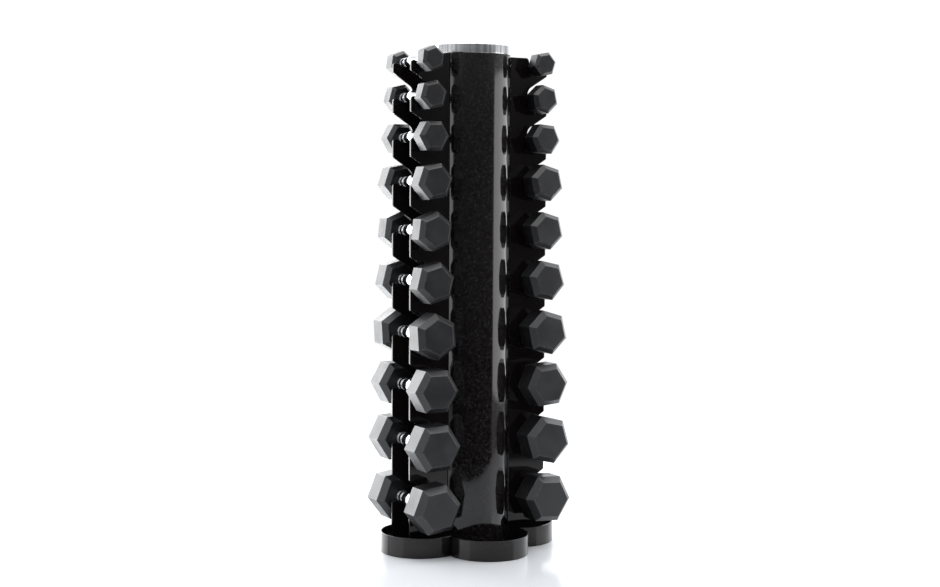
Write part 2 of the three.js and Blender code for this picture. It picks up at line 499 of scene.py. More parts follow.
def rounded(path: Sequence[tuple[float, float, float]], steps: int, closed: bool) -> list[Flat]:
    """Rounds the corners of a flat path.

    Args:
        path: The corners, each with the radius of its round.
        steps: How many steps a round has.
        closed: Whether the last corner joins the first.

    Returns:
        The points of the rounded path.
    """
    points: list[Flat] = []
    count = len(path)
    for i, (x, y, radius) in enumerate(path):
        corner = Vector((x, y))
        if radius <= 0 or (not closed and i in (0, count - 1)):
            points.append((x, y))
            continue
        before = Vector(path[i - 1][:2]) - corner
        after = Vector(path[(i + 1) % count][:2]) - corner
        half = before.angle(after) / 2
        reach = min(radius / math.tan(half), HALF * before.length, HALF * after.length)
        radius = reach * math.tan(half)
        before.normalize()
        after.normalize()
        middle = corner + (before + after).normalized() * (radius / math.sin(half))
        start, end = corner + before * reach - middle, corner + after * reach - middle
        sweep = math.pi - 2 * half
        for k in range(steps + 1):
            share = k / steps
            spoke = math.sin((1 - share) * sweep) * start + math.sin(share * sweep) * end
            point = middle + spoke / math.sin(sweep)
            points.append((point.x, point.y))
    return points


def between(first: Flat, second: Flat, share: float) -> Flat:
    """The point that lies a share of the way from one point to another."""
    x, y = (a + (b - a) * share for a, b in zip(first, second))
    return x, y


def circle(radius: float, height: float, segments: int, wear: float, place: Matrix) -> Ring:
    """One ring of points around a turned piece.

    Args:
        radius: The ring's radius.
        height: Its place along the axis.
        segments: How many points it has.
        wear: How rubbed it is.
        place: Puts the piece's own Z axis in the row frame.

    Returns:
        The ring.
    """
    turn = 2 * math.pi / segments
    return [
        (place @ Vector((radius * math.cos(turn * i), radius * math.sin(turn * i), height)), wear)
        for i in range(segments)
    ]


def skin(name: str, rings: Sequence[Ring], looped: bool) -> bpy.types.Mesh:
    """Joins rings of equal length into a closed skin.

    Args:
        name: The mesh's name.
        rings: The rings, each a list of points with their wear.
        looped: Whether the last ring joins the first. Otherwise flat faces close the ends.

    Returns:
        The mesh, with its normals outwards.
    """
    bm = bmesh.new()
    layer = bm.verts.layers.float.new(WEAR)
    rows = []
    for ring in rings:
        row = []
        for point, wear in ring:
            vert = bm.verts.new(point)
            vert[layer] = wear
            row.append(vert)
        rows.append(row)
    for low, high in zip(rows, rows[1:] + rows[:1] if looped else rows[1:]):
        for i in range(len(low)):
            j = (i + 1) % len(low)
            bm.faces.new((low[i], low[j], high[j], high[i]))
    if not looped:
        bm.faces.new(rows[0])
        bm.faces.new(rows[-1])
    return bake(name, bm)


def bake(name: str, bm: bmesh.types.BMesh) -> bpy.types.Mesh:
    """Turns a bmesh into a smooth-shaded mesh with its faces outwards.

    Args:
        name: The mesh's name.
        bm: The bmesh, which is freed.

    Returns:
        The mesh.
    """
    bmesh.ops.remove_doubles(bm, verts=bm.verts, dist=MERGE)
    bmesh.ops.recalc_face_normals(bm, faces=bm.faces)
    for face in bm.faces:
        face.smooth = True
    mesh = bpy.data.meshes.new(name)
    bm.to_mesh(mesh)
    bm.free()
    return mesh


def turned(
    name: str,
    profile: Sequence[Flat],
    segments: int,
    place: Matrix = Matrix.Identity(4),
    rubbed: float = 0.0,
) -> bpy.types.Mesh:
    """A turned piece with a closed section.

    Args:
        name: The mesh's name.
        profile: The closed section, as (radius, height).
        segments: How many sides the turning has.
        place: Puts the piece's own Z axis in the row frame.
        rubbed: Wear of the points that belong to short steps, such as rounded edges.

    Returns:
        The mesh.
    """
    rings = []
    for i, (radius, height) in enumerate(profile):
        before, after = profile[i - 1], profile[(i + 1) % len(profile)]
        near = min(math.dist(before, (radius, height)), math.dist(after, (radius, height)))
        wear = rubbed if near < SHORT else 0.0
        rings.append(circle(radius, height, segments, wear, place))
    return skin(name, rings, looped=True)


def settle(piece: bpy.types.Object) -> None:
    """Turns a piece's modifiers into plain mesh."""
    depsgraph = bpy.context.evaluated_depsgraph_get()
    mesh = bpy.data.meshes.new_from_object(
        piece.evaluated_get(depsgraph), preserve_all_data_layers=True, depsgraph=depsgraph
    )
    piece.modifiers.clear()
    piece.data = mesh


def fit(
    name: str,
    mesh: bpy.types.Mesh,
    material: bpy.types.Material,
    body: str,
    nodes: Sequence[str] = (),
) -> bpy.types.Object:
    """Makes a mesh a finished piece of the rack.

    Args:
        name: The piece's name.
        mesh: Its mesh, in the row frame.
        material: Its finish.
        body: The CAD body that it moves with.
        nodes: The CAD nodes that it stands for.

    Returns:
        The piece.
    """
    piece = bpy.data.objects.new(name, mesh)
    bpy.context.scene.collection.objects.link(piece)
    mesh.materials.clear()
    mesh.materials.append(material)
    mesh.shade_smooth()
    normals = piece.modifiers.new("even_normals", "WEIGHTED_NORMAL")
    normals.mode = "FACE_AREA"
    normals.weight = 50
    settle(piece)
    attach(piece, body)
    if nodes:
        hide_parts(*nodes)
    log.info("%s on %s, %d faces", name, body, len(piece.data.polygons))
    return piece


# ------------------------------------------------------------------ column


@dataclass(frozen=True)
class Column:
    """The round column with its chromed band and its plastic cap."""

    height: float = 1.2
    radius: float = COLUMN_RADIUS
    wall: float = 0.003
    band_radius: float = 0.096
    band_height: float = 0.0215
    spigot_depth: float = 0.018
    cap_thickness: float = 0.004
    cap_drop: float = 0.001
    segments: int = 160
    cap_segments: int = 96
    cap_border: float = 0.006
    cap_eye: float = 0.002  # radius of the flat in the middle of the cap
    end_wear: float = 0.5

    @property
    def inner(self) -> float:
        """The bore of the tube."""
        return self.radius - self.wall

    @property
    def bore(self) -> float:
        """The bore of the band."""
        return self.inner - GAP - self.wall

    def tube(self) -> bpy.types.Mesh:
        """The tube, with its cut ends broken."""
        top = self.height - self.band_height - GAP
        corners = [
            (self.inner, FOOT_Z, 0.0004),
            (self.radius, FOOT_Z, 0.0008),
            (self.radius, top, 0.0008),
            (self.inner, top, 0.0004),
        ]
        return turned("tube", rounded(corners, 3, True), self.segments, rubbed=self.end_wear)

    def band(self) -> bpy.types.Mesh:
        """The band, with softly rolled edges and a spigot inside the tube."""
        low = self.height - self.band_height
        corners = [
            (self.bore, low - self.spigot_depth, 0.0003),
            (self.inner - GAP, low - self.spigot_depth, 0.0003),
            (self.inner - GAP, low, 0.0),
            (self.band_radius, low, 0.0016),
            (self.band_radius, self.height, 0.0018),
            (self.bore, self.height, 0.0010),
        ]
        return turned("band", rounded(corners, 5, True), self.segments)

    def cap(self) -> bpy.types.Mesh:
        """The cap: a disc with a raised border and a shallow dish."""
        top = self.height - self.cap_drop
        low = top - self.cap_thickness
        edge = self.bore - GAP
        corners = [
            (0.0, low, 0.0),
            (edge, low, 0.0004),
            (edge, top, 0.0010),
            (edge - self.cap_border, top, 0.0008),
            (edge - self.cap_border - 0.0015, top - 0.0012, 0.0008),
            (0.02, top - 0.0016, 0.0),
            (0.004, top - 0.0017, 0.0),
        ]
        path = rounded(corners, 4, False)
        plain = Matrix.Identity(4)
        rings = [circle(max(r, self.cap_eye), z, self.cap_segments, 0.0, plain) for r, z in path]
        return skin("cap", rings, looped=False)

    def build(self, finishes: Finishes) -> None:
        """Makes the tube, band and cap."""
        fit("column_shell", self.tube(), finishes.tube, "rack", ["column_tube"])
        fit("column_band", self.band(), finishes.band, "rack", ["top_band"])
        fit("column_cap", self.cap(), finishes.cap, "rack", ["top_cap"])


# ------------------------------------------------------------------ tray


@dataclass(frozen=True)
class Tray:
    """The open tray of four overlapping round lobes that the column stands in."""

    radius: float = 0.0956
    height: float = 0.0478
    wall: float = 0.003
    side_offset: float = 0.1288
    front_offset: float = 0.1002
    floor: float = 0.004
    rim_round: float = 0.0011
    rim_wear: float = 0.8
    steps: int = 120

    def centre(self, lobe: Lobe) -> Vector:
        """The middle of a lobe."""
        return Vector((lobe.value[0] * self.side_offset, lobe.value[1] * self.front_offset))

    def half_gap(self, lobe: Lobe, radius: float, cut: float) -> float:
        """Half of the opening in a lobe's circle, seen from its middle.

        Args:
            lobe: The lobe.
            radius: The radius of the circle round its middle.
            cut: The radius of the circles round its neighbours that open it.

        Returns:
            The angle from the direction of the column to the circle's end.
        """
        across = Lobe.FRONT if lobe in (Lobe.LEFT, Lobe.RIGHT) else Lobe.LEFT
        way = self.centre(across) - self.centre(lobe)
        inward = -self.centre(lobe)
        span = way.length
        reach = math.acos((span**2 + radius**2 - cut**2) / (2 * span * radius))
        return inward.angle(way) + reach

    def around(self, lobe: Lobe, radius: float, cut: float, share: float) -> Flat:
        """A point on the open circle of a lobe.

        Args:
            lobe: The lobe.
            radius: The circle's radius.
            cut: The radius of the circles round its neighbours that open it.
            share: How far along the circle the point is, from 0 to 1.

        Returns:
            Its X and Y.
        """
        middle = self.centre(lobe)
        half = self.half_gap(lobe, radius, cut)
        angle = math.atan2(-middle.y, -middle.x) + half + share * (2 * math.pi - 2 * half)
        return middle.x + radius * math.cos(angle), middle.y + radius * math.sin(angle)

    def wall_mesh(self, lobe: Lobe) -> bpy.types.Mesh:
        """One lobe's wall, an arc with a rounded rim that ends at its neighbours."""
        inner = self.radius - self.wall
        cut = inner if lobe in (Lobe.LEFT, Lobe.RIGHT) else self.radius + GAP
        corners = [
            (inner, 0.0, 0.0003),
            (self.radius, 0.0, 0.0005),
            (self.radius, self.height, self.rim_round),
            (inner, self.height, self.rim_round),
        ]
        rim_z = self.height - 1.2 * self.rim_round
        path = rounded(corners, 4, True)
        section = [(r, z, self.rim_wear if z > rim_z else 0.0) for r, z in path]
        rings = []
        for step in range(self.steps + 1):
            share = step / self.steps
            rings.append(
                [(Vector((*self.around(lobe, r, cut, share), z)), wear) for r, z, wear in section]
            )
        return skin(f"wall_{lobe.name.lower()}", rings, looped=False)

    def floor_mesh(self) -> bpy.types.Mesh:
        """The floor, one sheet cut to the four lobes."""
        radius = self.radius - self.wall - GAP
        outline = [
            self.around(lobe, radius, radius, step / self.steps)
            for lobe in (Lobe.RIGHT, Lobe.BACK, Lobe.LEFT, Lobe.FRONT)
            for step in range(self.steps)
        ]
        rings = [[(Vector((x, y, z)), 0.0) for x, y in outline] for z in (0.0, self.floor)]
        return skin("tray_floor", rings, looped=False)

    def build(self, finishes: Finishes) -> None:
        """Makes the floor and the four walls."""
        fit("tray_base", self.floor_mesh(), finishes.sheet, "rack", ["tray_floor"])
        for lobe in Lobe:
            word = lobe.name.lower()
            mesh = self.wall_mesh(lobe)
            fit(f"tray_rim_{word}", mesh, finishes.sheet, "rack", [f"tray_wall_{word}"])


# ------------------------------------------------------------------ dumbbell sizes


@dataclass(frozen=True)
class DumbbellSize:
    """The sizes of one row's dumbbells."""

    row: int
    grip_z: float
    head_radius: float
    head_length: float
    neck_radius: float
    roll: Mapping[Bank, float]


def dumbbell_sizes() -> list[DumbbellSize]:
    """The ten rows, from the lightest at the top to the heaviest."""
    millimetre = 0.001
    pitches = (0, 83, 94.5, 104, 114.5, 118.5, 124, 126, 132.3, 141.8)
    radii = (30, 35, 38.5, 45, 46.5, 50, 55, 56, 60.3, 61.8)
    lengths = (30, 31, 34, 39, 39, 42, 46, 48, 51, 52)
    necks = (10.5, 11, 11.5, 12, 12.5, 13, 13.5, 14, 14.3, 14.3)
    left = (22, 14, 0, 11, 23, 16, 34, 0, 3, 8)
    right = (12, 43, 55, 44, 44, 48, 44, 5, 47, -3)
    sizes, height = [], 1159.5
    columns = zip(pitches, radii, lengths, necks, left, right)
    for row, (pitch, radius, length, neck, *turns) in enumerate(columns, 1):
        height -= pitch
        roll = {bank: math.radians(turn) for bank, turn in zip(Bank, turns)}
        lengthwise = [value * millimetre for value in (height, radius, length, neck)]
        sizes.append(DumbbellSize(row, *lengthwise, roll))
    return sizes


# ------------------------------------------------------------------ cradle plates


@dataclass(frozen=True)
class CradlePlate:
    """An upright plate with ten hook-shaped slots that stand open outwards and upwards."""

    thickness: float = 0.006
    spacing: float = 0.094
    outer_x: float = 0.183
    top_z: float = 1.1765
    top_corner: float = 0.008
    saddle_radius: float = 0.015
    nose_radius: float = 0.0075
    nose_drop: float = 0.0134
    back_wall: float = math.radians(121)
    top_wall: float = math.radians(105)  # the highest hook's wall, which has no roof over it
    throat_radius: float = 0.020
    roof: float = math.radians(31.8)
    roof_point: Flat = (-0.0145, 0.028)  # a point on a slot's roof, from the middle of its grip
    roof_corner: float = 0.004
    edge_round: float = 0.0026
    edge_steps: int = 4
    edge_wear: float = 0.9
    edge_band: float = 0.0016  # strip beside an edge over which its wear fades

    @staticmethod
    def arc(middle: Flat, radius: float, start: float, end: float, steps: int) -> list[Flat]:
        """Points of an arc, both ends included.

        Args:
            middle: The arc's middle.
            radius: Its radius.
            start: The angle that it starts at.
            end: The angle that it ends at.
            steps: How many steps it has.

        Returns:
            The points.
        """
        angles = [start + (end - start) * i / steps for i in range(steps + 1)]
        x, z = middle
        return [(x + radius * math.cos(a), z + radius * math.sin(a)) for a in angles]

    @staticmethod
    def crossing(first: Flat, first_way: float, second: Flat, second_way: float) -> Flat:
        """Where two lines meet.

        Args:
            first: A point on the first line.
            first_way: Its direction.
            second: A point on the second line.
            second_way: Its direction.

        Returns:
            The point.
        """
        ux, uz = math.cos(first_way), math.sin(first_way)
        vx, vz = math.cos(second_way), math.sin(second_way)
        dx, dz = second[0] - first[0], second[1] - first[1]
        reach = (dx * vz - dz * vx) / (ux * vz - uz * vx)
        return first[0] + reach * ux, first[1] + reach * uz

    @classmethod
    def fillet(cls, corner: Flat, start: float, end: float, radius: float) -> list[Flat]:
        """A rounded corner where the outline turns from one direction to another.

        Args:
            corner: The sharp corner.
            start: The direction before it.
            end: The direction after it.
            radius: The round's radius.

        Returns:
            The points.
        """
        turn = end - start
        side = math.copysign(1.0, turn)
        back = radius * math.tan(abs(turn) / 2)
        x = corner[0] - back * math.cos(start) + radius * math.cos(start + side * math.pi / 2)
        z = corner[1] - back * math.sin(start) + radius * math.sin(start + side * math.pi / 2)
        first = start - side * math.pi / 2
        steps = max(4, round(abs(turn) * math.sqrt(radius) * ARC_STEPS))
        return cls.arc((x, z), radius, first, first + turn, steps)

    def hook(self, size: DumbbellSize) -> list[Flat]:
        """One hook's outline, from below its nose to above its slot.

        Args:
            size: The row that it carries. The highest has no slot roof over it.

        Returns:
            The points.
        """
        saddle_z = size.grip_z + self.saddle_radius - size.neck_radius - GAP
        is_top = size.row == 1
        wall = self.top_wall if is_top else self.back_wall
        nose = (self.outer_x - self.nose_radius, saddle_z - self.nose_drop)
        reach = nose[0] - SADDLE_X
        both = self.nose_radius + self.saddle_radius
        arm = math.asin(both / math.hypot(reach, self.nose_drop))
        arm -= math.atan2(self.nose_drop, reach)
        quarter = math.pi / 2
        points = self.arc(nose, self.nose_radius, 0.0, arm + quarter, 12)
        saddle = (SADDLE_X, saddle_z)
        last = wall - 3 * quarter
        points += self.arc(saddle, self.saddle_radius, arm - quarter, last, 18)
        foot = points[-1]
        if is_top:
            corner = self.crossing(foot, wall, (0.0, self.top_z), 0.0)
            return points + self.fillet(corner, wall, math.pi, self.top_corner)
        roof = (SADDLE_X + self.roof_point[0], size.grip_z + self.roof_point[1])
        throat = self.crossing(foot, wall, roof, self.roof)
        lip = self.crossing(roof, self.roof, (self.outer_x, 0.0), quarter)
        points += self.fillet(throat, wall, self.roof, self.throat_radius)
        return points + self.fillet(lip, self.roof, quarter, self.roof_corner)

    def outline(self, sizes: Sequence[DumbbellSize], face: float) -> list[Flat]:
        """The whole outline of one of a plate's faces.

        Args:
            sizes: The rows that its slots are for.
            face: How far the face is from the middle of the rack.

        Returns:
            The points in X and Z, for the right bank.
        """
        inner_x = math.sqrt(COLUMN_RADIUS**2 - face**2) + GAP
        points = [(inner_x, FOOT_Z), (self.outer_x, FOOT_Z)]
        for size in reversed(sizes):
            points += self.hook(size)
        return points + [(inner_x, self.top_z)]

    def mesh(self, bank: Bank, place: Place, sizes: Sequence[DumbbellSize]) -> bpy.types.Mesh:
        """One plate with its edges broken and its wear marked.

        Args:
            bank: The bank that it belongs to.
            place: Whether it is the pair's front or back plate.
            sizes: The rows that its slots are for.

        Returns:
            The mesh.
        """
        middle = place.value * self.spacing / 2
        bm = bmesh.new()
        layer = bm.verts.layers.float.new(WEAR)
        faces = []
        for y in (middle - self.thickness / 2, middle + self.thickness / 2):
            verts = [bm.verts.new((bank.value * x, y, z)) for x, z in self.outline(sizes, abs(y))]
            faces.append(bm.faces.new(verts))
        low, high = (list(face.verts) for face in faces)
        for i in range(len(low)):
            bm.faces.new((low[i - 1], low[i], high[i], high[i - 1]))
        rim = [edge for face in faces for edge in face.edges]
        round_off = {"offset": self.edge_round, "segments": self.edge_steps, "profile": 0.5}
        bmesh.ops.bevel(bm, geom=rim, affect="EDGES", **round_off)
        bm.verts.ensure_lookup_table()
        for vert in bm.verts:
            vert[layer] = self.edge_wear
        broad = sorted(bm.faces, key=lambda face: face.calc_area())[-2:]
        for face in broad:
            bmesh.ops.inset_region(bm, faces=[face], thickness=self.edge_band)
            for vert in face.verts:
                vert[layer] = 0.0
        return bake("cradle_plate", bm)

    def build(self, finishes: Finishes, sizes: Sequence[DumbbellSize]) -> None:
        """Makes the four plates."""
        for bank in Bank:
            for place in Place:
                word = f"{bank.word}_{place.name.lower()}"
                mesh = self.mesh(bank, place, sizes)
                node = f"cradle_plate_{word}"
                fit(f"hook_plate_{word}", mesh, finishes.sheet, "rack", [node])


# ------------------------------------------------------------------ dumbbells


@dataclass(frozen=True)
class CollarRings:
    """The turned beads at both ends of a grip, two inside its plates and two outside them."""

    inside: float = 0.0355
    outside: float = 0.0532
    pitch: float = 0.0044
    bead_radius: float = 0.0020
    crown: float = 0.45  # height of a bead as a share of its width
    count: int = 2
    ring_steps: int = 48
    bead_steps: int = 10

    def tree(self) -> bpy.types.NodeTree:
        """Builds the node tree that strings beads along both ends of a grip."""
        tree = bpy.data.node_groups.new("collar_rings", "GeometryNodeTree")
        graph = Graph(tree)
        for name, kind in (
            ("Rings", "Int"),
            ("Pitch", "Float"),
            ("Inside", "Float"),
            ("Outside", "Float"),
            ("Ring radius", "Float"),
            ("Bead radius", "Float"),
            ("Middle", "Vector"),
            ("Finish", "Material"),
        ):
            tree.interface.new_socket(name, in_out="INPUT", socket_type=f"NodeSocket{kind}")
        tree.interface.new_socket("Beads", in_out="OUTPUT", socket_type="NodeSocketGeometry")
        given = graph.node("NodeGroupInput").outputs
        ring, bead = (
            graph.out(
                "GeometryNodeCurvePrimitiveCircle",
                {"Resolution": steps, "Radius": given[f"{name} radius"]},
                "Curve",
            )
            for steps, name in ((self.ring_steps, "Ring"), (self.bead_steps, "Bead"))
        )
        move = "GeometryNodeTransform"
        low = graph.out(move, {"Geometry": bead, "Scale": (self.crown, 1.0, 1.0)})
        swept = graph.out("GeometryNodeCurveToMesh", {"Curve": ring, "Profile Curve": low})
        upright = graph.out(move, {"Geometry": swept, "Rotation": (math.pi / 2, 0.0, 0.0)})
        offset = graph.out("ShaderNodeCombineXYZ", {"Y": given["Pitch"]})
        end = graph.node("GeometryNodeJoinGeometry")
        for name in ("Inside", "Outside"):
            start = graph.out("ShaderNodeCombineXYZ", {"Y": given[name]})
            inputs = {"Count": given["Rings"], "Start Location": start, "Offset": offset}
            line = graph.node("GeometryNodeMeshLine", {"mode": "OFFSET"}, inputs).outputs[0]
            inputs = {"Points": line, "Instance": upright}
            tree.links.new(graph.out("GeometryNodeInstanceOnPoints", inputs), end.inputs[0])
        both = graph.node("GeometryNodeJoinGeometry")
        for turn in (0.0, math.pi):
            inputs = {"Geometry": end.outputs[0], "Translation": given["Middle"]}
            inputs["Rotation"] = (0.0, 0.0, turn)
            tree.links.new(graph.out(move, inputs), both.inputs[0])
        real = graph.out("GeometryNodeRealizeInstances", {0: both.outputs[0]})
        inputs = {"Geometry": real, "Material": given["Finish"]}
        graph.node("NodeGroupOutput", None, {0: graph.out("GeometryNodeSetMaterial", inputs)})
        return tree

    def mesh(
        self,
        tree: bpy.types.NodeTree,
        middle: Vector,
        ring_radius: float,
        finish: bpy.types.Material,
    ) -> bpy.types.Mesh:
        """Runs the tree for one grip.

        Args:
            tree: The tree from tree().
            middle: The middle of the grip.
            ring_radius: The radius of a bead's own middle line.
            finish: The beads' material.

        Returns:
            The beads as plain mesh.
        """
        holder = bpy.data.objects.new("bead_holder", bpy.data.meshes.new("bead_holder"))
        bpy.context.scene.collection.objects.link(holder)
        modifier = holder.modifiers.new("beads", "NODES")
        modifier.node_group = tree
        values = {
            "Rings": self.count,
            "Pitch": self.pitch,
            "Inside": self.inside,
            "Outside": self.outside,
            "Ring radius": ring_radius,
            "Bead radius": self.bead_radius,
            "Middle": tuple(middle),
            "Finish": finish,
        }
        for item in tree.interface.items_tree:
            if item.in_out == "INPUT":
                modifier[item.identifier] = values[item.name]
        settle(holder)
        mesh = holder.data
        bpy.data.objects.remove(holder)
        return mesh


@dataclass(frozen=True)
class Dumbbell:
    """One dumbbell: two hexagonal rubber heads on a bar, a chromed grip and its collar rings."""

    size: DumbbellSize
    bank: Bank
    head_inner: float = 0.059
    bevel_length: float = 0.25  # shares of the head's radius
    bevel_inset: float = 0.24
    core_radius: float = 0.0065
    bore_radius: float = 0.007
    swell: float = 0.0045
    swell_reach: float = 0.037
    bead_sink: float = 0.0002  # how far a bead's middle line lies below the grip
    corner_round: float = 0.0022
    edge_round: float = 0.0018
    corner_steps: int = 4
    side_steps: int = 3
    edge_wear: float = 0.9
    side_wear: float = 0.8  # on the six long edges between the sides
    side_margin: float = 0.0025  # wear fades over this much of a side, from its corner
    end_margin: float = 0.0028  # the same along the grip
    flat_end: float = 0.0005  # a ring this near to an end face belongs to it
    long_step: float = 0.006  # longer steps of the section get their own fading rings

    @property
    def middle(self) -> Vector:
        """The middle of the grip."""
        return Vector((self.bank.value * SADDLE_X, 0.0, self.size.grip_z))

    @property
    def tag(self) -> str:
        """Its bank and row, as the names write them."""
        return f"{self.bank.word}_{self.size.row:02d}"

    @property
    def body(self) -> str:
        """The CAD body that it moves with."""
        return f"dumbbell_{self.tag}"

    def hexagon(self, radius: float, y: float, wear: float, corner_wear: float) -> Ring:
        """One six-sided ring with rounded corners.

        Args:
            radius: From the axis to a sharp corner.
            y: The ring's place along the grip.
            wear: How rubbed its sides are.
            corner_wear: How rubbed its corners are.

        Returns:
            The ring.
        """
        soft = min(self.corner_round, 0.3 * radius)
        hub = radius - soft / math.cos(math.pi / 6)

        def at(turn: float, angle: float) -> Flat:
            """A point on the round of the corner that lies at a turn."""
            x, z = hub * math.cos(turn), hub * math.sin(turn)
            return x + soft * math.cos(angle), z + soft * math.sin(angle)

        flats: list[tuple[Flat, float]] = []
        for side in range(6):
            turn = self.size.roll[self.bank] + side * math.pi / 3
            for step in range(self.corner_steps + 1):
                angle = turn + (step / self.corner_steps - 0.5) * math.pi / 3
                flats.append((at(turn, angle), corner_wear))
            after = turn + math.pi / 3
            end, start = flats[-1][0], at(after, after - math.pi / 6)
            near = min(self.side_margin / math.dist(end, start), 0.3)
            flats += [(between(end, start, share), wear) for share in (near, 0.5, 1 - near)]
        return [(self.middle + Vector((x, y, z)), worn) for (x, z), worn in flats]

    def round_bar(self, radius: float, y: float) -> Ring:
        """One round ring of the bar, with as many points as a hexagon's ring.

        Args:
            radius: The bar's radius.
            y: The ring's place along the grip.

        Returns:
            The ring.
        """
        count = 6 * (self.corner_steps + 1 + self.side_steps)
        roll = self.size.roll[self.bank] - math.pi / 6
        ring: Ring = []
        for i in range(count):
            angle = roll + 2 * math.pi * (i + 0.5) / count
            x, z = radius * math.cos(angle), radius * math.sin(angle)
            ring.append((self.middle + Vector((x, y, z)), 0.0))
        return ring

    def head_profile(self) -> list[tuple[float, float, float, float]]:
        """A head's section from its inner face to the middle of its end face.

        Returns:
            (corner radius, distance from the middle of the grip, wear of its sides, wear of its
            corners) of each ring.
        """
        radius = self.size.head_radius
        bevel = self.bevel_length * radius
        face = radius * (1 - self.bevel_inset)
        inner = self.head_inner
        outer = inner + self.size.head_length + 2 * bevel
        soft = self.edge_round
        corners = [
            (0.5 * face, inner, 0.0),
            (face, inner, soft),
            (radius, inner + bevel, soft),
            (radius, outer - bevel, soft),
            (face, outer, soft),
            (0.25 * face, outer, 0.0),
        ]
        path = rounded(corners, 4, False)
        rows: list[tuple[float, float, float, float]] = []
        for i, point in enumerate(path):
            span = math.dist(path[i - 1], point) if i else 0.0
            if span > self.long_step:
                for share in (self.end_margin / span, 1 - self.end_margin / span):
                    r, y = between(path[i - 1], point, share)
                    on_side = inner + self.flat_end < y < outer - self.flat_end
                    rows.append((r, y, 0.0, self.side_wear if on_side else 0.0))
            worn = 0.0 if i in (0, len(path) - 1) else self.edge_wear
            rows.append((*point, worn, worn))
        return rows

    def heads(self) -> bpy.types.Mesh:
        """Both heads and the bar between them as one skin."""
        rows = self.head_profile()
        rings = [self.hexagon(r, -y, side, corner) for r, y, side, corner in reversed(rows)]
        rings += [self.round_bar(self.core_radius, y) for y in (-self.head_inner, self.head_inner)]
        rings += [self.hexagon(r, y, side, corner) for r, y, side, corner in rows]
        return skin("heads", rings, looped=False)

    def grip(self) -> bpy.types.Mesh:
        """The grip sleeve, swelling gently to its middle."""
        end = self.head_inner - GAP
        neck = self.size.neck_radius
        half: list[Flat] = []
        steps = 14
        for i in range(steps + 1):
            y = self.swell_reach * i / steps
            lift = 0.5 + 0.5 * math.cos(math.pi * i / steps)
            half.append((neck + self.swell * lift**0.9, y))
        half += [(neck, 0.043), (neck, 0.051), (neck, end)]
        outer = [(r, -y) for r, y in reversed(half[1:])] + half
        section = [(self.bore_radius, -end), *outer, (self.bore_radius, end)]
        place = Matrix.Translation(self.middle) @ Matrix.Rotation(-math.pi / 2, 4, "X")
        return turned("grip", section, 48, place)

    def build(self, finishes: Finishes, rings: CollarRings, tree: bpy.types.NodeTree) -> None:
        """Makes the dumbbell's pieces.

        Args:
            finishes: The rack's finishes.
            rings: The collar rings' sizes.
            tree: Their node tree.
        """
        tag, body, slot = self.tag, self.body, "grip_chrome"
        heads = [f"{body}_heads"]
        fit(f"hex_heads_{tag}", self.heads(), finishes.rubber, body, heads)
        fit(f"grip_sleeve_{tag}", self.grip(), finishes.grip, body, [f"{body}_grip"])
        radius = self.size.neck_radius - self.bead_sink
        beads = rings.mesh(tree, self.middle, radius, finishes.grip)
        fit(f"collar_rings_{tag}", beads, finishes.grip, body)


# ------------------------------------------------------------------ studio


@dataclass(frozen=True)
class Viewpoint:
    """Where the camera stands and how it is turned."""

    distance: float = 3.627
    height: float = 0.8353
    stand: float = math.radians(-28.7)
    heading: float = math.radians(-28.73)
    tilt: float = math.radians(3.537)
    roll: float = math.radians(0.3388)
    lens: float = 57.753
    sensor: float = 36.0

    def build(self) -> None:
        """Makes the camera."""
        data = bpy.data.cameras.new("camera")
        data.sensor_fit = "HORIZONTAL"
        data.sensor_width = self.sensor
        data.lens = self.lens
        data.clip_end = 100.0
        camera = bpy.data.objects.new("camera", data)
        x, y = self.distance * math.sin(self.stand), -self.distance * math.cos(self.stand)
        camera.matrix_world = (
            Matrix.Translation((x, y, self.height))
            @ Matrix.Rotation(self.heading, 4, "Z")
            @ Matrix.Rotation(math.pi / 2 - self.tilt, 4, "X")
            @ Matrix.Rotation(self.roll, 4, "Z")
        )
        bpy.context.scene.collection.objects.link(camera)
        bpy.context.scene.camera = camera


def hang(name: str, size: Flat, power: float, colour: Triple, place: Matrix) -> None:
    """Makes a soft light that the camera doesn't see.

    Args:
        name: The light's name.
        size: Its width and height.
        power: Its power in watts.
        colour: Its colour.
        place: Puts its own frame in the row frame. It shines along its own -Z.
    """
    data = bpy.data.lights.new(name, "AREA")
    data.shape = "RECTANGLE"
    data.size, data.size_y = size
    data.energy = power
    data.color = colour
    lamp = bpy.data.objects.new(name, data)
    lamp.matrix_world = place
    lamp.visible_camera = False
    bpy.context.scene.collection.objects.link(lamp)


@dataclass(frozen=True)
class LightPanel:
    """A tall soft light panel that stands facing the rack."""

    name: str
    near: float  # azimuths of its two upright edges, 0 towards -Y and growing towards +X
    far: float
    distance: float
    low: float
    high: float
    radiance: float
    colour: Triple = (0.985, 0.99, 1.0)

    def build(self) -> None:
        """Makes the light."""
        first, second = (
            Vector((self.distance * math.sin(angle), -self.distance * math.cos(angle), 0.0))
            for angle in (self.near, self.far)
        )
        width, height = (second - first).length, self.high - self.low
        middle = (first + second) / 2 + Vector((0.0, 0.0, (self.low + self.high) / 2))
        across, upright = (second - first).normalized(), Vector((0.0, 0.0, 1.0))
        outward = across.cross(upright)
        if outward.dot(middle) < 0:
            across, outward = -across, -outward
        place = Matrix.Translation(middle)
        place @= Matrix((across, upright, outward)).transposed().to_4x4()
        power = self.radiance * math.pi * width * height
        hang(self.name, (width, height), power, self.colour, place)


